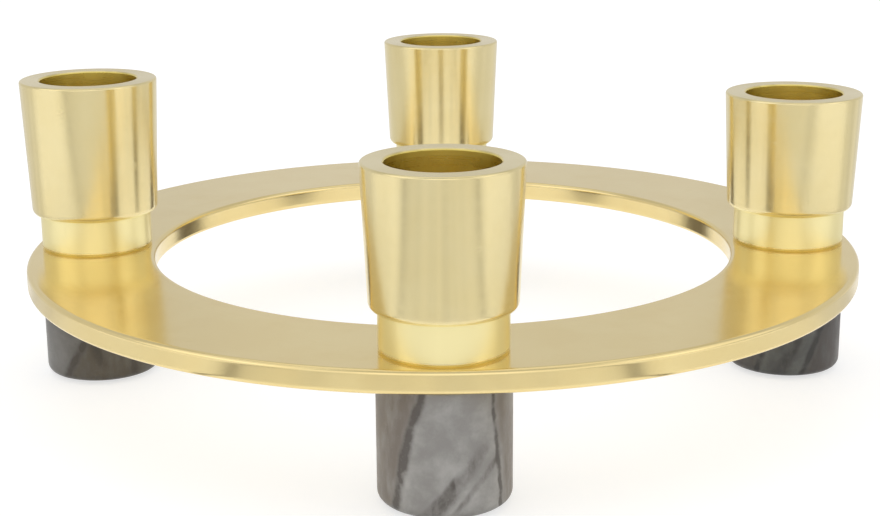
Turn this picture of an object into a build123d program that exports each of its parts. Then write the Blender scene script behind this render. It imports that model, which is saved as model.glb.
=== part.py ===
from build123d import *
import os
from math import radians, tan

# Candle holder for four candles: a flat brass ring on four marble feet, with a turned brass cup
# over each foot. One screw per leg comes up through the foot and the ring into the cup and clamps
# the three together. The origin is the middle of the ring at table level, +Z is up and -Y is the
# front. Sizes are in millimetres.

os.makedirs("parts", exist_ok=True)

# Ring plate
RING_OUTER_DIAMETER = 200.0
RING_BAND_WIDTH = 30.0
RING_THICKNESS = 5.0
RING_EDGE_RADIUS = 1.0

# Candle cup, the outside; the right cup is a little lower than the others and the left one taller
CUP_HEIGHT = 38.0
CUP_HEIGHT_RIGHT = 36.5
CUP_HEIGHT_LEFT = 41.0
CUP_RIM_DIAMETER = 32.6
CUP_RIM_EDGE_RADIUS = 0.5
CUP_NECK_DIAMETER = 26.4
CUP_NECK_HEIGHT = 8.5
CUP_SHOULDER_STEP = 1.8
CUP_SHOULDER_RADIUS_SHARE = 0.85
CUP_BASE_CHAMFER = 0.5

# Candle cup, the socket and the seat on the ring
CANDLE_DIAMETER = 22.0
CANDLE_CLEARANCE = 0.5
SOCKET_MOUTH_CHAMFER = 0.4
SOCKET_CORNER_RADIUS = 1.5
SOCKET_FLOOR = 2.0
SEAT_LAND_WIDTH = 3.5
SEAT_RELIEF = 0.3

# Clamp screw, M5 with a button head
SCREW_DIAMETER = 5.0
SCREW_HEAD_DIAMETER = 9.5
SCREW_HEAD_HEIGHT = 2.75
SCREW_HEAD_FLAT_SHARE = 0.55
SCREW_HEAD_RIM_SHARE = 0.2
SCREW_HEAD_DOME_SHARE = 0.2
SCREW_KEY_WIDTH = 3.0
SCREW_KEY_DEPTH = 1.8
SCREW_TIP_CHAMFER = 0.6
THREAD_ENGAGEMENT = 9.0
THREAD_CLEARANCE = 0.05
TAP_RUNOUT = 1.5
DRILL_POINT_ANGLE = 118.0
RING_HOLE_CLEARANCE = 0.25
FOOT_HOLE_CLEARANCE = 0.5

# Load washer
WASHER_OUTER_DIAMETER = 10.0
WASHER_THICKNESS = 1.0
WASHER_HOLE_CLEARANCE = 0.15
WASHER_SIDE_CLEARANCE = 0.75

# Marble foot
FOOT_DIAMETER = 27.6
FOOT_HEIGHT = 26.5
FOOT_BOTTOM_RADIUS = 2.0
FOOT_TOP_CHAMFER = 0.3
COUNTERBORE_DEPTH = 11.5

# Felt pad
PAD_THICKNESS = 1.0
PAD_RECESS_SHARE = 0.5
PAD_EDGE_MARGIN = 1.6
PAD_SIDE_CLEARANCE = 0.2
PAD_HOLE_MARGIN = 0.5

# Legs, counted anticlockwise from the front, with the height of the cup on each
LEG_CUP_HEIGHTS = {
    "front": CUP_HEIGHT,
    "right": CUP_HEIGHT_RIGHT,
    "back": CUP_HEIGHT,
    "left": CUP_HEIGHT_LEFT,
}
FRONT_ANGLE = -90.0

# Levels above the table
pad_recess = PAD_THICKNESS * PAD_RECESS_SHARE
foot_bottom = PAD_THICKNESS - pad_recess
foot_top = foot_bottom + FOOT_HEIGHT
ring_top = foot_top + RING_THICKNESS
washer_top = foot_bottom + COUNTERBORE_DEPTH
head_top = washer_top - WASHER_THICKNESS
head_bottom = head_top - SCREW_HEAD_HEIGHT
head_rim = head_top - SCREW_HEAD_HEIGHT * SCREW_HEAD_RIM_SHARE
screw_tip = ring_top + THREAD_ENGAGEMENT

# Radii that follow from the sizes above
ring_outer = RING_OUTER_DIAMETER / 2
ring_inner = ring_outer - RING_BAND_WIDTH
leg_circle = ring_outer - RING_BAND_WIDTH / 2
neck_radius = CUP_NECK_DIAMETER / 2
shoulder_radius = neck_radius + CUP_SHOULDER_STEP
rim_radius = CUP_RIM_DIAMETER / 2
socket_radius = CANDLE_DIAMETER / 2 + CANDLE_CLEARANCE
screw_radius = SCREW_DIAMETER / 2
head_radius = SCREW_HEAD_DIAMETER / 2
head_flat_radius = head_radius * SCREW_HEAD_FLAT_SHARE
tap_radius = screw_radius + THREAD_CLEARANCE
washer_radius = WASHER_OUTER_DIAMETER / 2
counterbore_radius = washer_radius + WASHER_SIDE_CLEARANCE
foot_radius = FOOT_DIAMETER / 2
recess_radius = foot_radius - FOOT_BOTTOM_RADIUS - PAD_EDGE_MARGIN
pad_radius = recess_radius - PAD_SIDE_CLEARANCE
pad_hole_radius = counterbore_radius + PAD_HOLE_MARGIN

# The tapped hole ends in the cone that the drill leaves, and the socket floor lies above its point
tap_bottom = ring_top + THREAD_ENGAGEMENT + TAP_RUNOUT
drill_point = tap_bottom + tap_radius / tan(radians(DRILL_POINT_ANGLE / 2))
socket_bottom = drill_point + SOCKET_FLOOR

# The ring is a plate with both rims rounded and one plain hole per leg for the screw
with BuildPart() as ring_plate:
    with BuildSketch(Plane.XY.offset(foot_top)):
        Circle(ring_outer)
        Circle(ring_inner, mode=Mode.SUBTRACT)
        with PolarLocations(leg_circle, len(LEG_CUP_HEIGHTS), FRONT_ANGLE):
            Circle(screw_radius + RING_HOLE_CLEARANCE, mode=Mode.SUBTRACT)
    extrude(amount=RING_THICKNESS)
    ring_rims = ring_plate.edges().filter_by(GeomType.CIRCLE).sort_by(SortBy.RADIUS)[-4:]
    fillet(ring_rims, RING_EDGE_RADIUS)

# Each cup is turned: neck, shoulder and flaring body outside, candle socket inside
candle_cups = {}
for leg_name, cup_height in LEG_CUP_HEIGHTS.items():
    cup_rim = ring_top + cup_height
    with BuildPart() as candle_cup:
        with BuildSketch(Plane.XZ):
            with BuildLine():
                Polyline(
                    (0, ring_top),
                    (neck_radius, ring_top),
                    (neck_radius, ring_top + CUP_NECK_HEIGHT),
                    (shoulder_radius, ring_top + CUP_NECK_HEIGHT),
                    (rim_radius, cup_rim),
                    (0, cup_rim),
                    close=True,
                )
            make_face()
        revolve(axis=Axis.Z)
        outer_rings = candle_cup.edges().filter_by(GeomType.CIRCLE).group_by(Axis.Z)
        shoulder_ring = outer_rings[1].sort_by(SortBy.RADIUS)[-1]
        fillet(outer_rings[-1], CUP_RIM_EDGE_RADIUS)
        fillet(shoulder_ring, CUP_SHOULDER_STEP * CUP_SHOULDER_RADIUS_SHARE)
        chamfer(outer_rings[0], CUP_BASE_CHAMFER)
        with Locations(Plane.XY.offset(cup_rim)):
            Hole(socket_radius, depth=cup_rim - socket_bottom)
        socket_rings = candle_cup.edges(Select.LAST).filter_by(GeomType.CIRCLE).sort_by(Axis.Z)
        chamfer(socket_rings[-1], SOCKET_MOUTH_CHAMFER)
        fillet(socket_rings[0], SOCKET_CORNER_RADIUS)

        # The underside is relieved, so the cup seats on its outer land, with the tapped hole in the middle
        with Locations(-Plane.XY.offset(ring_top)):
            CounterBoreHole(
                tap_radius,
                counter_bore_radius=neck_radius - SEAT_LAND_WIDTH,
                counter_bore_depth=SEAT_RELIEF,
                depth=tap_bottom - ring_top,
            )
        with BuildSketch(Plane.XZ):
            with BuildLine():
                Polyline((0, tap_bottom), (tap_radius, tap_bottom), (0, drill_point), close=True)
            make_face()
        revolve(axis=Axis.Z, mode=Mode.SUBTRACT)
    candle_cups[leg_name] = candle_cup.part

# The foot is a stone cylinder, bored through for the screw and from below for its head
with BuildPart() as marble_foot:
    with BuildSketch(Plane.XY.offset(foot_bottom)):
        Circle(foot_radius)
    extrude(amount=FOOT_HEIGHT)
    foot_rings = marble_foot.edges().filter_by(GeomType.CIRCLE).sort_by(Axis.Z)
    fillet(foot_rings[0], FOOT_BOTTOM_RADIUS)
    chamfer(foot_rings[-1], FOOT_TOP_CHAMFER)
    with Locations(-Plane.XY.offset(foot_bottom)):
        CounterBoreHole(
            screw_radius + FOOT_HOLE_CLEARANCE,
            counter_bore_radius=counterbore_radius,
            counter_bore_depth=COUNTERBORE_DEPTH,
        )
    with BuildSketch(Plane.XY.offset(foot_bottom)):
        Circle(recess_radius)
    extrude(amount=pad_recess, mode=Mode.SUBTRACT)

# The screw hangs its domed head on the washer, and its shank ends in the cup
with BuildPart() as clamp_screw:
    with BuildSketch(Plane.XZ):
        with BuildLine():
            Line((0, head_bottom), (head_flat_radius, head_bottom))
            dome = SagittaArc(
                (head_flat_radius, head_bottom),
                (head_radius, head_rim),
                -(head_rim - head_bottom) * SCREW_HEAD_DOME_SHARE,
            )
            Polyline(dome @ 1, (head_radius, head_top), (0, head_top), (0, head_bottom))
        make_face()
    revolve(axis=Axis.Z)
    with BuildSketch(Plane.XY.offset(head_top)):
        Circle(screw_radius)
    extrude(amount=screw_tip - head_top)
    tip_ring = clamp_screw.edges().filter_by(GeomType.CIRCLE).sort_by(Axis.Z)[-1]
    chamfer(tip_ring, SCREW_TIP_CHAMFER)
    with BuildSketch(Plane.XY.offset(head_bottom)):
        RegularPolygon(SCREW_KEY_WIDTH / 2, side_count=6, major_radius=False)
    extrude(amount=SCREW_KEY_DEPTH, mode=Mode.SUBTRACT)

# The washer spreads the load of the screw head over the stone
with BuildPart() as load_washer:
    with BuildSketch(Plane.XY.offset(head_top)):
        Circle(washer_radius)
        Circle(screw_radius + WASHER_HOLE_CLEARANCE, mode=Mode.SUBTRACT)
    extrude(amount=WASHER_THICKNESS)

# The pad is a felt ring in the recess under the foot, open in the middle for the key
with BuildPart() as felt_pad:
    with BuildSketch():
        Circle(pad_radius)
        Circle(pad_hole_radius, mode=Mode.SUBTRACT)
    extrude(amount=PAD_THICKNESS)

ring_plate.part.label = "ring_plate"
export_step(ring_plate.part, "parts/ring_plate.step")

# Every leg has the same four pieces under its cup, all on its own axis
LEG_PIECES = {
    "marble_foot": marble_foot.part,
    "clamp_screw": clamp_screw.part,
    "load_washer": load_washer.part,
    "felt_pad": felt_pad.part,
}
legs = PolarLocations(leg_circle, len(LEG_CUP_HEIGHTS), FRONT_ANGLE).local_locations
for (leg_name, cup), leg in zip(candle_cups.items(), legs):
    for piece_name, piece in {"candle_cup": cup, **LEG_PIECES}.items():
        placed = piece.moved(leg)
        placed.label = f"{piece_name}_{leg_name}"
        export_step(placed, f"parts/{piece_name}_{leg_name}.step")
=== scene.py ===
import bpy
import bmesh
from math import atan2, cos, sin, tan, tau
from mathutils import Matrix, Vector, noise


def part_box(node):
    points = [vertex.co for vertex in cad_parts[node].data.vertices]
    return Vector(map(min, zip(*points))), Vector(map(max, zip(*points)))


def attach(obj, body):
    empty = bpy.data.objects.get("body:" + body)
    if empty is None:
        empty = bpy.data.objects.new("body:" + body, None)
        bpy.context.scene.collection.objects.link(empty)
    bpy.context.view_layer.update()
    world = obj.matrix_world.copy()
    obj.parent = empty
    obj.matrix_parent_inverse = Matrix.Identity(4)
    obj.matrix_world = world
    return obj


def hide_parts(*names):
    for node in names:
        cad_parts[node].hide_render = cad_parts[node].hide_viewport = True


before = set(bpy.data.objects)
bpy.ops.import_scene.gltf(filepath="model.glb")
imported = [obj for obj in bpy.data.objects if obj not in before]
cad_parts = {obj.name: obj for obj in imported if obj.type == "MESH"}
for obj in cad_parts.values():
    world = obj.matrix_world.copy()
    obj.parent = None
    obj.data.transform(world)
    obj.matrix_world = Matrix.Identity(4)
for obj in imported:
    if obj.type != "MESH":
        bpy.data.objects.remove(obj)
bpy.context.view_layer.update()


# Marble feet: grey veined stone, cored from a slab, honed and slightly rounded along the lower edge.
# Each foot is bored through for its clamp screw, from below for the screw's head, and has a shallow
# recess underneath for the pad. The screw alone holds it against the ring.
MM = 0.001
LEGS = ("front", "right", "back", "left")
ARC_RUNOUT = 0.2


def outline(corners, steps, closed):
    """Section points, and which of them are sharp, from corners of (radius, height, rounding) in mm.
    A rounding of 0 is a sharp corner and None a point on a smooth line. A rounded corner becomes an arc
    with a point just beyond each end, so that the flats next to it stay flat."""
    points, sharp = [], []
    for k, (radius, height, rounding) in enumerate(corners):
        here = Vector((radius, height))
        if not rounding:
            if rounding == 0 and (closed or 0 < k < len(corners) - 1):
                sharp.append(len(points))
            points.append(here)
            continue
        to_last = (Vector(corners[k - 1][:2]) - here).normalized()
        to_next = (Vector(corners[(k + 1) % len(corners)][:2]) - here).normalized()
        half = to_last.angle(to_next) / 2
        centre = here + (to_last + to_next).normalized() * rounding / sin(half)
        first = here + to_last * rounding / tan(half)
        last = here + to_next * rounding / tan(half)
        spoke, end = first - centre, last - centre
        sweep = atan2(spoke.cross(end), spoke.dot(end))
        points.append(first + to_last * rounding * ARC_RUNOUT)
        for step in range(steps + 1):
            points.append(centre + Matrix.Rotation(sweep * step / steps, 2) @ spoke)
        points.append(last + to_next * rounding * ARC_RUNOUT)
    return [point * MM for point in points], sharp


def round_axis(radius, turn, height):
    """The point at this distance from the Z axis and at this height, turned from +X."""
    return Vector((radius * cos(turn), radius * sin(turn), height))


def turned(name, corners, around, steps=6, closed=True):
    """A body turned about Z. Its section runs anticlockwise: up the outside, in over the top."""
    points, sharp = outline(corners, steps, closed)
    bm = bmesh.new()
    rings = []
    for radius, height in points:
        count = around if radius > 0 else 1
        turns = [tau * k / count for k in range(count)]
        rings.append([bm.verts.new(round_axis(radius, turn, height)) for turn in turns])
    pairs = list(zip(rings, rings[1:]))
    if closed:
        pairs.append((rings[-1], rings[0]))
    for low, high in pairs:
        for k in range(around):
            ends = (
                low[k % len(low)], low[(k + 1) % len(low)],
                high[(k + 1) % len(high)], high[k % len(high)])
            bm.faces.new(dict.fromkeys(ends)).smooth = True
    for index in sharp:
        ring = rings[index]
        for one, other in zip(ring, ring[1:] + ring[:1]):
            bm.edges.get((one, other)).smooth = False
    mesh = bpy.data.meshes.new(name)
    bm.to_mesh(mesh)
    bm.free()
    return mesh


def fitted(name, mesh, material, node, body, turn=0.0):
    """Sets a piece on the axis of the node that it stands for and lets it ride on that body."""
    mesh.materials.clear()
    mesh.materials.append(material)
    piece = bpy.data.objects.new(name, mesh)
    bpy.context.scene.collection.objects.link(piece)
    low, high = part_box(node)
    piece.location = ((low.x + high.x) / 2, (low.y + high.y) / 2, 0)
    piece.rotation_euler.z = turn
    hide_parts(node)
    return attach(piece, body)


class Wire:
    """One socket of a finish. Arithmetic on it adds Math nodes, and node() adds any other node."""

    def __init__(self, tree, socket=None):
        self.tree = tree
        self.socket = socket

    def node(self, kind, settings=None, sockets=None, out=0):
        made = self.tree.nodes.new(kind)
        for key, value in (settings or {}).items():
            setattr(made, key, value)
        for key, value in (sockets or {}).items():
            if isinstance(value, Wire):
                self.tree.links.new(value.socket, made.inputs[key])
            else:
                made.inputs[key].default_value = value
        return Wire(self.tree, made.outputs[out] if made.outputs else None)

    def maths(self, operation, *values):
        return self.node("ShaderNodeMath", {"operation": operation}, dict(enumerate(values)))

    def __add__(self, other):
        return self.maths("ADD", self, other)

    def __sub__(self, other):
        return self.maths("SUBTRACT", self, other)

    def __rsub__(self, other):
        return self.maths("SUBTRACT", other, self)

    def __mul__(self, other):
        return self.maths("MULTIPLY", self, other)

    def __abs__(self):
        return self.maths("ABSOLUTE", self)

    __radd__ = __add__
    __rmul__ = __mul__


def finish_tree(name):
    """A new material with an empty node tree, and the wire that its nodes are added through."""
    material = bpy.data.materials.new(name)
    material.use_nodes = True
    material.node_tree.nodes.clear()
    return material, Wire(material.node_tree)


def shown(surface):
    """Makes this shader the one that its material shows."""
    surface.node("ShaderNodeOutputMaterial", None, {"Surface": surface})


def vector(operation, one, other=None, out="Vector"):
    """Vector maths on a wire alone, or with another wire or a plain vector."""
    sockets = {0: one} if other is None else {0: one, 1: other}
    return one.node("ShaderNodeVectorMath", {"operation": operation}, sockets, out)


def scaled(one, times):
    sockets = {0: one, "Scale": times}
    return one.node("ShaderNodeVectorMath", {"operation": "SCALE"}, sockets)


def local_mm(start):
    """Where a point is on its own piece, in millimetres."""
    return scaled(start.node("ShaderNodeTexCoord", out="Object"), 1 / MM)


def up(at):
    return at.node("ShaderNodeSeparateXYZ", None, {0: at}, "Z")


def grain(at, size, detail=4.0, roughness=0.55, out="Fac"):
    """Soft noise with features of about this size in millimetres."""
    sockets = {"Vector": at, "Scale": 1 / size, "Detail": detail, "Roughness": roughness}
    return at.node("ShaderNodeTexNoise", None, sockets, out)


def fade(value, start, end):
    """From 0 at start to 1 at end, eased at both."""
    sockets = {"Value": value, "From Min": start, "From Max": end}
    return value.node("ShaderNodeMapRange", {"interpolation_type": "SMOOTHSTEP"}, sockets)


def blend(share, one, other):
    """A colour between two, all of the other where the share is 1."""
    return share.node("ShaderNodeMix", {"data_type": "RGBA"}, {0: share, 6: one, 7: other}, 2)


def seen(red, green, blue):
    """A colour as a photo shows it, from 0 to 255, made linear."""
    return tuple(((c / 255 + 0.055) / 1.055) ** 2.4 for c in (red, green, blue)) + (1.0,)


WAVE_SIZE, WAVE_REACH = 19, 4.0
CLOUD_SIZE, PATCH_SIZE, SPECK_SIZE = 7, 4.5, 0.5
SMEAR_SIZE, SMEAR_STRETCH = 3, (1, 1, 0.35)
VEIN_STRENGTH = 0.85
PIT_DEPTH = 0.06


def marble(name, ground, pale, flank, dark, veins, streaks, drift):
    """Honed stone. Veins and streaks are lines on the side that faces the front, as (x, height) pairs of
    their upper and lower ends in mm with a half width. Each runs on through the stone as a wavy sheet.
    A vein also has the side, -1 or 1, that its flank lies on, and drift gives each stone its own grain."""
    material, start = finish_tree(name)
    at = local_mm(start)
    moved = vector("ADD", at, drift)
    wave = vector("SUBTRACT", grain(moved, WAVE_SIZE, 5.0, 0.5, "Color"), (0.5, 0.5, 0.5))
    bent = vector("ADD", at, scaled(wave, WAVE_REACH))

    def beside(upper, lower):
        """Signed distance from a vein's sheet in mm, positive to its right."""
        across = Vector((upper[1] - lower[1], lower[0] - upper[0])).normalized()
        along = vector("DOT_PRODUCT", bent, (across.x, 0.0, across.y), "Value")
        return along - across.dot(Vector(upper))

    clouds = grain(bent, CLOUD_SIZE, 6.0, 0.62)
    smears = grain(vector("MULTIPLY", bent, SMEAR_STRETCH), SMEAR_SIZE, 5.0)
    patches = grain(moved, PATCH_SIZE, 3.0)
    specks = grain(at, SPECK_SIZE, 2.0)
    colour = blend(fade(clouds, 0.34, 0.76), ground, pale)
    for upper, lower, half, side in veins:
        gap = beside(upper, lower)
        beyond = fade(gap * side, -0.3, 1.6) * (0.55 + 0.45 * fade(smears, 0.3, 0.62))
        colour = blend(beyond, colour, flank)
        swell = 0.35 + 1.3 * fade(patches, 0.3, 0.72)
        core = (1 - fade(abs(gap), 0, half * 1.7)) * swell
        colour = blend(core.maths("MINIMUM", core, VEIN_STRENGTH), colour, dark)
    for upper, lower, half in streaks:
        gap = beside(upper, lower)
        broken = (0.4 + 0.6 * fade(smears, 0.4, 0.58)) * (0.55 + 0.45 * fade(patches, 0.36, 0.56))
        reach = up(bent)
        above_end = fade(reach, lower[1] - 4, lower[1] + 1)
        below_end = 1 - fade(reach, upper[1] - 1, upper[1] + 3)
        core = 1 - fade(abs(gap), half * 0.3, half * 2)
        colour = blend(core * broken * (above_end * below_end) * VEIN_STRENGTH, colour, dark)
    colour = blend(fade(specks, 0.6, 0.8) * 0.22, colour, pale)
    roughness = 0.3 + 0.14 * fade(clouds, 0.35, 0.7) + 0.08 * fade(specks, 0.45, 0.7)
    pits = start.node("ShaderNodeBump", None, {
        "Strength": 0.35, "Distance": PIT_DEPTH * MM, "Height": specks})
    shown(start.node("ShaderNodeBsdfPrincipled", None, {
        "Base Color": colour, "Roughness": roughness, "Normal": pits, "Specular IOR Level": 0.4}))
    return material


FOOT_SIDES = 160
FOOT_SECTION = (
    (13.8, 0.5, 2.0), (13.8, 26.7, 0.12), (13.5, 27.0, 0.12), (3.0, 27.0, 0.15), (3.0, 12.0, 0),
    (5.75, 12.0, 0), (5.75, 1.0, 0.15), (10.2, 1.0, 0), (10.2, 0.5, 0.12))
# The right, back and left stones have darker grounds than the front one: partly their own darker stone,
# and partly painted shade for the ring's shadow over them.
FOOT_STONES = {
    "front": marble(
        "grey_marble_front", ground=seen(155, 152, 148), pale=seen(188, 186, 182),
        flank=seen(131, 122, 113), dark=seen(84, 77, 71), drift=(3.0, 8.0, 1.0),
        veins=[((-5.2, 27.0), (-9.7, 3.5), 0.8, -1), ((9.6, 27.0), (11.0, 3.5), 0.35, 1)],
        streaks=[((7.7, 15.0), (-1.0, 2.0), 0.9), ((3.0, 10.0), (-4.0, 1.0), 0.6),
                 ((10.0, 12.0), (4.0, 4.0), 0.5)]),
    "right": marble(
        "grey_marble_right", ground=seen(88, 89, 89), pale=seen(120, 122, 120),
        flank=seen(82, 76, 72), dark=seen(56, 54, 53), drift=(31.0, 5.0, 14.0),
        veins=[((-5.0, 27.0), (-8.5, 0.5), 0.6, -1), ((12.0, 27.0), (2.0, 0.5), 0.7, 1)],
        streaks=[((4.0, 16.0), (-3.0, 2.0), 1.1)]),
    "back": marble(
        "grey_marble_back", ground=seen(130, 127, 123), pale=seen(158, 155, 150),
        flank=seen(112, 104, 96), dark=seen(70, 65, 61), drift=(12.0, 41.0, 6.0),
        veins=[((6.2, 27.0), (2.5, 0.5), 0.7, 1), ((-7.5, 27.0), (-4.0, 0.5), 0.35, -1)],
        streaks=[((-1.0, 21.0), (-8.0, 8.0), 1.0)]),
    "left": marble(
        "grey_marble_left", ground=seen(110, 107, 103), pale=seen(134, 132, 128),
        flank=seen(97, 90, 78), dark=seen(74, 68, 60), drift=(7.0, 17.0, 29.0),
        veins=[((7.0, 27.0), (-8.0, 0.5), 0.9, 1)],
        streaks=[((9.4, 9.0), (8.8, 0.5), 0.8), ((-3.0, 20.0), (2.0, 6.0), 1.2)]),
}
for leg, stone in FOOT_STONES.items():
    foot = turned(f"{leg}_foot", FOOT_SECTION, FOOT_SIDES)
    fitted(f"{leg}_foot", foot, stone, f"marble_foot_{leg}", "stand")


# Felt pads: rings punched from 1 mm dark wool felt, glued into the recess under each foot so that half
# of the felt stands proud. The hole leaves the way free for the key that turns the screw.
PAD_SIDES, PAD_ARC_STEPS = 120, 4
PAD_SECTION = (
    (10.0, 0.0, 0.22), (10.0, 1.0, 0.1), (8.1, 1.0, None), (6.25, 1.0, 0.1), (6.25, 0.0, 0.22),
    (7.0, 0.0, None), (7.8, 0.0, None), (8.5, 0.0, None), (9.2, 0.0, None))
PAD_PROUD = 0.4
LUMP_SIZE, LUMP_HEIGHT, LUMP_SHIFT = 1.6, 0.05, 9.0
HAIR_SIZE, HAIR_LAY = 0.35, (1, 1, 2.5)
TUFT_SIZE = 2.4
NAP_DEPTH = 0.07

wool, start = finish_tree("dark_wool_felt")
at = local_mm(start)
hairs = grain(vector("MULTIPLY", at, HAIR_LAY), HAIR_SIZE, 6.0, 0.7)
tufts = grain(at, TUFT_SIZE, 3.0)
colour = blend(fade(hairs, 0.32, 0.7), seen(62, 62, 63), seen(112, 110, 107))
colour = blend(fade(tufts, 0.45, 0.7) * 0.4, colour, seen(82, 79, 74))
nap = start.node("ShaderNodeBump", None, {
    "Strength": 0.8, "Distance": NAP_DEPTH * MM, "Height": hairs + 0.5 * tufts})
shown(start.node("ShaderNodeBsdfPrincipled", None, {
    "Base Color": colour, "Roughness": 0.95, "Normal": nap, "Specular IOR Level": 0.1,
    "Sheen Weight": 0.35, "Sheen Roughness": 0.6}))
for number, leg in enumerate(LEGS):
    pad = turned(f"{leg}_pad", PAD_SECTION, PAD_SIDES, PAD_ARC_STEPS)
    for point in pad.vertices:
        spot = point.co / (LUMP_SIZE * MM) + Vector((LUMP_SHIFT * number, 0, 0))
        push = noise.noise(spot) * LUMP_HEIGHT * MM
        outward = Vector((point.co.x, point.co.y, 0)).normalized()
        point.co += outward * push
        if point.co.z < PAD_PROUD * MM:
            point.co.z += abs(push)
    fitted(f"{leg}_pad", pad, wool, f"felt_pad_{leg}", "stand")


# Load washers: stamped M5 plain washers of zinc plated steel, with the slightly rounded edges that
# stamping leaves. Each lies in its foot's counterbore and spreads the screw's load over the stone.
WASHER_SIDES, WASHER_ARC_STEPS = 96, 4
WASHER_SECTION = ((5.0, 11.0, 0.18), (5.0, 12.0, 0.1), (2.65, 12.0, 0.1), (2.65, 11.0, 0.18))
SPANGLE_SIZE, STAIN_SIZE, ZINC_GRAIN_SIZE = 1.3, 4.0, 0.12
ZINC_GRAIN_DEPTH = 0.01

zinc, start = finish_tree("zinc_plated_steel")
at = local_mm(start)
spangle = grain(at, SPANGLE_SIZE, 4.0, 0.6)
stain = grain(at, STAIN_SIZE, 3.0)
fine = grain(at, ZINC_GRAIN_SIZE, 2.0)
colour = blend(fade(spangle, 0.35, 0.68), seen(188, 190, 192), seen(213, 213, 210))
colour = blend(fade(stain, 0.55, 0.75) * 0.35, colour, seen(176, 172, 160))
roughness = 0.28 + 0.16 * fade(spangle, 0.3, 0.7)
skin = start.node("ShaderNodeBump", None, {
    "Strength": 0.3, "Distance": ZINC_GRAIN_DEPTH * MM, "Height": fine})
shown(start.node("ShaderNodeBsdfPrincipled", None, {
    "Base Color": colour, "Metallic": 1.0, "Roughness": roughness, "Normal": skin}))
for leg in LEGS:
    washer = turned(f"{leg}_washer", WASHER_SECTION, WASHER_SIDES, WASHER_ARC_STEPS)
    fitted(f"{leg}_washer", washer, zinc, f"load_washer_{leg}", "stand")


# Clamp screws: M5 x 30 button head screws of zinc plated steel with a 3 mm hexagon socket. The head is
# cold formed and the thread rolled. Each goes up through washer, foot and ring into its cup's thread.
HEAD_BOTTOM, HEAD_TOP, HEAD_ARC_STEPS = 8.25, 11.0, 5
SHANK_RADIUS = 2.5
THREAD_DEPTH, THREAD_PITCH, ROWS_PER_TURN = 0.42, 0.8, 9
FLANK_SLOPE, CREST_FLAT = 1.35, 0.1
THREAD_START, SCREW_TIP, TIP_BEVEL = 24.0, 41.0, 0.6
KEY_SIDES, KEY_CORNER, KEY_DEPTH, KEY_POINT = 6, 1.732, 1.8, 0.5
SCREW_SIDES = 48
SAME_HEIGHT = 0.01
HEAD_SECTION = (
    (2.61, HEAD_BOTTOM, None), (3.38, 8.53, None), (4.04, 9.05, None), (4.5, 9.7, None),
    (4.75, 10.45, None), (4.75, HEAD_TOP, 0.12), (SHANK_RADIUS, HEAD_TOP, 0.2),
    (SHANK_RADIUS, THREAD_START, None))

screw = turned("clamp_screw", HEAD_SECTION, SCREW_SIDES, HEAD_ARC_STEPS, False)
bm = bmesh.new()
bm.from_mesh(screw)
open_edges = [edge for edge in bm.edges if edge.is_boundary]
underside = [edge for edge in open_edges if edge.verts[0].co.z < HEAD_TOP * MM]
below = [vert for vert in bm.verts if vert.co.z > (THREAD_START - SAME_HEIGHT) * MM]
below.sort(key=lambda vert: vert.co.xy.angle_signed(Vector((1, 0))) % tau)
rows = round((SCREW_TIP - THREAD_START) / THREAD_PITCH * ROWS_PER_TURN)
for row in range(1, rows + 1):
    height = THREAD_START + (SCREW_TIP - THREAD_START) * row / rows
    above = []
    for side in range(SCREW_SIDES):
        phase = (height / THREAD_PITCH - side / SCREW_SIDES) % 1
        groove = FLANK_SLOPE * (1 - abs(2 * phase - 1)) - CREST_FLAT
        groove = min(1, max(0, groove)) * THREAD_DEPTH
        groove *= min(1, (height - THREAD_START) / THREAD_PITCH)
        bevel = SHANK_RADIUS - TIP_BEVEL + (SCREW_TIP - height)
        radius = min(SHANK_RADIUS - groove, bevel)
        above.append(bm.verts.new(round_axis(radius, tau * side / SCREW_SIDES, height) * MM))
    for side in range(SCREW_SIDES):
        following = (side + 1) % SCREW_SIDES
        bm.faces.new((below[side], below[following], above[following], above[side])).smooth = True
    below = above
bm.faces.new(below)
key_turns = [tau * k / KEY_SIDES for k in range(KEY_SIDES)]
key_top = HEAD_BOTTOM + KEY_DEPTH
key_rim, key_floor = [
    [bm.verts.new(round_axis(KEY_CORNER, turn, height) * MM) for turn in key_turns]
    for height in (HEAD_BOTTOM, key_top)]
key_point = bm.verts.new(round_axis(0, 0, key_top + KEY_POINT) * MM)
for k in range(KEY_SIDES):
    following = (k + 1) % KEY_SIDES
    underside.append(bm.edges.new((key_rim[k], key_rim[following])))
    bm.faces.new((key_rim[following], key_rim[k], key_floor[k], key_floor[following]))
    bm.faces.new((key_floor[following], key_floor[k], key_point))
bmesh.ops.triangle_fill(bm, use_beauty=True, edges=underside, normal=(0, 0, -1))
bmesh.ops.recalc_face_normals(bm, faces=bm.faces)
bm.to_mesh(screw)
bm.free()
for leg in LEGS:
    fitted(f"{leg}_screw", screw.copy(), zinc, f"clamp_screw_{leg}", f"screw_{leg}")


# Ring plate: a flat ring of 5 mm brass, cut out, its rims rounded over on a belt and its faces polished
# to a satin. It has one plain hole over each foot and is clamped between the feet and the cups.
RING_SIDES, RING_ARC_STEPS, BORE_SIDES = 360, 8, 48
RING_BOTTOM, RING_TOP = 27.0, 32.0
RING_OUTSIDE = (
    (98.4, RING_BOTTOM, None), (100.0, RING_BOTTOM, 1.0),
    (100.0, RING_TOP, 1.0), (98.4, RING_TOP, None))
RING_INSIDE = (
    (71.6, RING_TOP, None), (70.0, RING_TOP, 1.0),
    (70.0, RING_BOTTOM, 1.0), (71.6, RING_BOTTOM, None))
RING_BORE = ((2.75, RING_TOP, 0), (2.75, RING_BOTTOM, 0))
BORES_FROM, BORES_TO = 75, 95
LINES_PER_MM, BANDS_PER_MM = 9.0, 0.9
BRASS_CLOUD_SIZE = 14
LINE_DEPTH = 0.004


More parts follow.
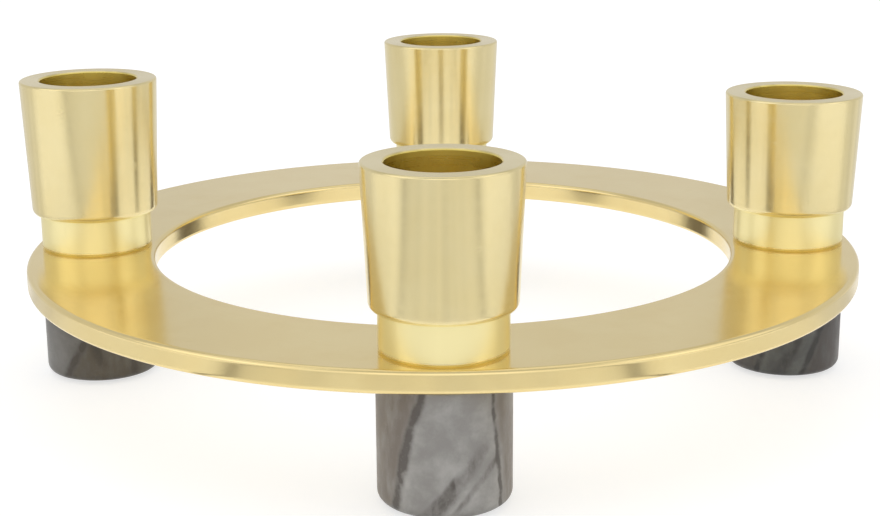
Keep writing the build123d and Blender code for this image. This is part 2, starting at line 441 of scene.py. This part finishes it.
def satin_brass(name, tone, deep, polish, lines, grip, spots, painted_light_and_rough=()):
    """Polished brass. Lines is where its fine polishing lines run from, in mm, and grip how far they
    stretch a reflection; spots are where it has been handled. The last argument holds places that are
    rougher and painted another colour, each as a mask, a colour and how much rougher it is; these colours
    are painted light and painted reflection, not the metal's own tone."""
    material, start = finish_tree(name)
    at = local_mm(start)
    across = lines(at)
    fine, broad = [
        start.node("ShaderNodeTexNoise", {"noise_dimensions": "1D"}, {
            "W": across, "Scale": per_mm, "Detail": detail})
        for per_mm, detail in ((LINES_PER_MM, 3.0), (BANDS_PER_MM, 2.0))]
    cloud = grain(at, BRASS_CLOUD_SIZE, 4.0)
    touch = grain(at, spots, 5.0, 0.65)
    colour = blend(fade(cloud, 0.3, 0.7), tone, deep)
    colour = blend(fade(touch, 0.56, 0.8) * 0.3, colour, deep)
    roughness = polish + 0.02 * fade(fine, 0.35, 0.65) + 0.02 * fade(broad, 0.35, 0.65)
    roughness = roughness + 0.05 * fade(touch, 0.5, 0.75)
    # Painted light and reflection: each colour here stands in for how that place is lit; only the added
    # roughness is the finish.
    for place, painted_colour, rougher in painted_light_and_rough:
        share = place(at)
        colour = blend(share, colour, painted_colour)
        roughness = roughness + rougher * share
    marks = start.node("ShaderNodeBump", None, {
        "Strength": 0.04, "Distance": LINE_DEPTH * MM, "Height": fine})
    shown(start.node("ShaderNodeBsdfPrincipled", None, {
        "Base Color": colour, "Metallic": 1.0, "Roughness": roughness, "Normal": marks,
        "Anisotropic": grip, "Anisotropic Rotation": 0.25}))
    return material


def from_axis(at):
    return vector("LENGTH", vector("MULTIPLY", at, (1, 1, 0)), out="Value")


bm = bmesh.new()
for section in (RING_OUTSIDE, RING_INSIDE):
    bm.from_mesh(turned("ring_edge", section, RING_SIDES, RING_ARC_STEPS, False))
for leg in LEGS:
    low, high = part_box(f"marble_foot_{leg}")
    bore = turned("ring_bore", RING_BORE, BORE_SIDES, 1, False)
    bore.transform(Matrix.Translation(((low.x + high.x) / 2, (low.y + high.y) / 2, 0)))
    bm.from_mesh(bore)
for height, facing in ((RING_TOP, 1), (RING_BOTTOM, -1)):
    rims = [
        edge for edge in bm.edges if edge.is_boundary
        and all(abs(vert.co.z - height * MM) < SAME_HEIGHT * MM for vert in edge.verts)]
    filled = bmesh.ops.triangle_fill(bm, use_beauty=True, edges=rims, normal=(0, 0, facing))
    for face in filled["geom"]:
        if isinstance(face, bmesh.types.BMFace):
            face.smooth = True
            if face.normal.z * facing < 0:
                face.normal_flip()
for edge in bm.edges:
    middle = (edge.verts[0].co + edge.verts[1].co) / 2
    on_flat = any(len(face.verts) == 3 for face in edge.link_faces)
    if on_flat and BORES_FROM * MM < middle.xy.length < BORES_TO * MM:
        edge.smooth = all(abs(face.normal.z) > 0.5 for face in edge.link_faces)
ring_mesh = bpy.data.meshes.new("ring")
bm.to_mesh(ring_mesh)
bm.free()
ring_brass = satin_brass(
    "ring_satin_brass", tone=(0.88, 0.72, 0.36, 1), deep=(0.86, 0.69, 0.33, 1), polish=0.16,
    lines=from_axis, grip=0.0, spots=6.0)
fitted("ring", ring_mesh, ring_brass, "ring_plate", "stand")


# Candle cups: turned from brass bar on one axis, with a narrow neck, a rounded shoulder, a slightly
# flaring body and a plain candle socket. A tapped hole in the relieved base takes the clamp screw, which
# pulls the cup down onto the ring.
CUP_SIDES, CUP_ARC_STEPS = 192, 8
CUP_BASE = (
    (0, 44.03, 0), (2.55, 42.5, 0), (2.55, 32.3, 0.1), (9.7, 32.3, 0), (9.7, 32.0, 0),
    (12.7, 32.0, 0), (13.2, 32.5, 0.1))
CUP_SHOULDER = ((13.2, 40.5, 0.2), (15.0, 40.5, 1.5))
RIM_RADIUS, RIM_ROUNDING = 16.3, 0.5
SOCKET_RADIUS, MOUTH_BEVEL, BEVEL_ROUNDING = 11.5, 0.4, 0.1
SOCKET_FLOOR = ((SOCKET_RADIUS, 46.03, 1.5), (0, 46.03, 0))


def up_and_out(at):
    """Turning marks follow the height on the walls and the radius on the rim."""
    return up(at) + from_axis(at)


def socket_painted_reflection(at):
    """The candle socket, left rougher as it was bored; its deep olive colour is a painted reflection of
    brass in the shaded bore.
    """
    return (1 - fade(from_axis(at), 11.55, 11.8)) * fade(up(at), 45.8, 46.0)


def seam_painted_light(at):
    """The foot of the neck against the ring, painted pale and slightly rougher: a painted highlight that
    lifts the shade in the seam.
    """
    return (1 - fade(up(at), 32.25, 32.6)) * fade(from_axis(at), 12.2, 12.6)


def neck_painted_light(at):
    """The neck and the shoulder's underside, rougher where a polishing wheel can't follow closely, and
    painted paler: painted light that lifts the shade under the shoulder.
    """
    height = up(at)
    between = fade(height, 32.6, 33.0) * (1 - fade(height, 41.0, 41.5))
    return between * fade(from_axis(at), 12.9, 13.1)


cup_brass = satin_brass(
    "cup_turned_brass", tone=(0.86, 0.74, 0.415, 1), deep=(0.84, 0.71, 0.375, 1), polish=0.2,
    lines=up_and_out, grip=0.7, spots=5.0, painted_light_and_rough=(
        # Painted reflection in the socket and painted light at the seam and on the neck; the roughness
        # added with each is the finish.
        (socket_painted_reflection, (0.84, 0.68, 0.17, 1), 0.06),
        (seam_painted_light, (1.0, 0.95, 0.66, 1), 0.1),
        (neck_painted_light, (1.0, 0.89, 0.48, 1), 0.18)))
for number, leg in enumerate(LEGS):
    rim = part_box(f"candle_cup_{leg}")[1].z / MM
    cup_rim = (
        (RIM_RADIUS, rim, RIM_ROUNDING), (SOCKET_RADIUS + MOUTH_BEVEL, rim, BEVEL_ROUNDING),
        (SOCKET_RADIUS, rim - MOUTH_BEVEL, BEVEL_ROUNDING))
    section = CUP_BASE + CUP_SHOULDER + cup_rim + SOCKET_FLOOR
    cup = turned(f"{leg}_cup", section, CUP_SIDES, CUP_ARC_STEPS, False)
    turn = tau * number / len(LEGS)
    fitted(f"{leg}_cup", cup, cup_brass, f"candle_cup_{leg}", f"cup_{leg}", turn)


# Studio: a white paper table under soft light from all round, with four soft boxes above it and a bounce
# from below. Grey cards lie on the table and stand and hang round it, and two narrow dark slats lie on
# it. Only reflections show cards and slats.
TABLE_REACH, TABLE_HEIGHT = 3.0, -0.0002
PAPER_SPECKLE_SIZE = 3.0
PAPER_GLOW = 0.66
CARD_INNER, CARD_OUTER, CARD_TOP = 0.1, 2.4, 1.7
CARD_SIDES = 90
CARD_PATCH_SIZE = 0.14
SIDE_CARD_HEIGHT, SLAT_HEIGHT = 0.0002, 0.0005
SLATS_AHEAD = 0.797
STRAIGHT_AHEAD = (-0.04, -1, 0)
WORLD_LIGHT = 0.85
SOFT_BOXES = (
    ("left_box", (-1.1, -0.5, 1.0), 1.2, 1.8), ("right_box", (1.2, -0.3, 0.9), 1.2, 1.6),
    ("front_box", (0.0, -1.5, 0.75), 1.2, 1.1), ("top_box", (0.0, 0.2, 1.5), 1.4, 2.0),
    ("paper_bounce", (0.0, 0.0, -0.6), 1.6, 5.5))
BOX_AIM = (0, 0, 0.03)


def staged(name, points, faces, material):
    """A flat thing of the studio, which isn't part of the holder."""
    mesh = bpy.data.meshes.new(name)
    mesh.from_pydata(points, [], faces)
    mesh.materials.append(material)
    thing = bpy.data.objects.new(name, mesh)
    bpy.context.scene.collection.objects.link(thing)
    return thing


def looked_at(start):
    """1 for a look at something, straight or in metal or glass, and 0 for the light that it gives."""
    camera, glossy, through = [
        start.node("ShaderNodeLightPath", out=f"Is {kind} Ray")
        for kind in ("Camera", "Glossy", "Transmission")]
    return camera + glossy + through


paper, start = finish_tree("white_paper")
speckle = grain(local_mm(start), PAPER_SPECKLE_SIZE, 2.0)
white = blend(speckle, (0.43, 0.43, 0.43, 1), (0.45, 0.45, 0.45, 1))
sheet = start.node("ShaderNodeBsdfDiffuse", None, {"Color": white})
glow = start.node("ShaderNodeEmission", None, {"Color": (1, 1, 1, 1), "Strength": PAPER_GLOW})
glow = start.node("ShaderNodeMixShader", None, {0: looked_at(start), 2: glow})
lit = start.node("ShaderNodeAddShader", None, {0: sheet, 1: glow})
from_below = start.node("ShaderNodeNewGeometry", out="Backfacing")
shown(start.node("ShaderNodeMixShader", None, {
    0: from_below, 1: lit, 2: start.node("ShaderNodeBsdfTransparent")}))
corners = [
    (x * TABLE_REACH, y * TABLE_REACH, TABLE_HEIGHT)
    for x, y in ((-1, -1), (1, -1), (1, 1), (-1, 1))]
staged("table", corners, [(0, 1, 2, 3)], paper).visible_shadow = False


def card(name, low, high, dark, pale, share):
    """A grey card all round between two edges of (radius, height), for reflections only. Share gives
    how much of it is there, from the distance to the middle in mm and from 1 in front to -1 behind."""
    board, start = finish_tree(name)
    at = local_mm(start)
    way = vector("NORMALIZE", vector("MULTIPLY", at, (1, 1, 0)))
    ahead = vector("DOT_PRODUCT", way, STRAIGHT_AHEAD, "Value")
    uneven = fade(grain(way, CARD_PATCH_SIZE, 2.0), 0.3, 0.7)
    shade = blend(uneven, (dark, dark, dark, 1), (pale, pale, pale, 1))
    grey = start.node("ShaderNodeEmission", None, {"Color": shade})
    shown(start.node("ShaderNodeMixShader", None, {
        0: share(from_axis(at), ahead), 1: start.node("ShaderNodeBsdfTransparent"), 2: grey}))
    turns = [tau * k / CARD_SIDES for k in range(CARD_SIDES)]
    points = [round_axis(radius, turn, height) for turn in turns for radius, height in (low, high)]
    count = len(points)
    faces = [(k, k + 1, (k + 3) % count, (k + 2) % count) for k in range(0, count, 2)]
    thing = staged(name, points, faces, board)
    thing.visible_camera = thing.visible_diffuse = False
    thing.visible_transmission = thing.visible_shadow = False


def before_and_behind(far, ahead):
    return fade(far, 105, 200) * (fade(ahead, 0.66, 0.82) + fade(ahead, 0.1, -0.1))


def beside_the_ring(far, ahead):
    near = fade(far, 105, 150) * (1 - 0.75 * fade(far, 205, 240))
    rearward = 0.55 + 0.45 * fade(ahead, 0.15, -0.15)
    return near * rearward * fade(ahead, -0.45, -0.25) * (1 - fade(ahead, 0.64, 0.76))


def open_in_front(far, ahead):
    return fade(ahead, 0.35, 0.15)


def all_of_it(far, ahead):
    return 1.0


def one_either_side(far, ahead):
    return 1 - fade(abs(ahead - SLATS_AHEAD), 0.004, 0.022)


card("cards_on_table", (CARD_INNER, 0), (CARD_OUTER, 0), 0.7, 0.86, before_and_behind)
card("cards_beside", (CARD_INNER, SIDE_CARD_HEIGHT), (CARD_OUTER, SIDE_CARD_HEIGHT), 0.68, 0.74,
     beside_the_ring)
card("cards_upright", (CARD_OUTER, 0), (CARD_OUTER, CARD_TOP), 0.67, 0.73, open_in_front)
card("cards_overhead", (CARD_OUTER, CARD_TOP), (0.01, CARD_TOP), 0.57, 0.63, all_of_it)
card("slats_on_table", (CARD_INNER, SLAT_HEIGHT), (CARD_OUTER, SLAT_HEIGHT), 0.12, 0.16,
     one_either_side)

world = bpy.data.worlds.new("studio")
world.use_nodes = True
world.node_tree.nodes.clear()
bpy.context.scene.world = world
start = Wire(world.node_tree)
level = WORLD_LIGHT + (1 - WORLD_LIGHT) * looked_at(start)
start.node("ShaderNodeOutputWorld", None, {
    "Surface": start.node("ShaderNodeBackground", None, {"Color": (1, 1, 1, 1), "Strength": level})})

for name, place, size, power in SOFT_BOXES:
    lamp = bpy.data.lights.new(name, "AREA")
    lamp.shape = "SQUARE"
    lamp.size = size
    lamp.energy = power
    box = bpy.data.objects.new(name, lamp)
    bpy.context.scene.collection.objects.link(box)
    box.location = place
    box.visible_camera = False
    box.rotation_euler = (Vector(BOX_AIM) - box.location).to_track_quat("-Z", "Y").to_euler()


# Camera: a short telephoto view from the front, about fifteen degrees above the table, with the picture
# turned a hair anticlockwise as in the photo. Distances are in mm, to an aim point in the ring's middle.
VIEW_PITCH, VIEW_ROLL = 0.2609, -0.0073
VIEW_DISTANCE, VIEW_AIM = 424.9, (-0.66, 0.0, 27.65)
PICTURE_WIDTH, FOCAL_PIXELS = 880, 1718.6

lens = bpy.data.cameras.new("view")
lens.sensor_width = 36.0
lens.lens = FOCAL_PIXELS * lens.sensor_width / PICTURE_WIDTH
lens.clip_start = 0.01
camera = bpy.data.objects.new("view", lens)
bpy.context.scene.collection.objects.link(camera)
forward = Vector((0, cos(VIEW_PITCH), -sin(VIEW_PITCH)))
level_up = Vector((1, 0, 0)).cross(forward)
right = Vector((1, 0, 0)) * cos(VIEW_ROLL) + level_up * sin(VIEW_ROLL)
stance = Matrix((right, right.cross(forward), -forward)).transposed().to_4x4()
eye = Vector(VIEW_AIM) * MM - forward * VIEW_DISTANCE * MM
camera.matrix_world = Matrix.Translation(eye) @ stance
bpy.context.scene.camera = camera
bpy.context.scene.view_settings.view_transform = "Standard"
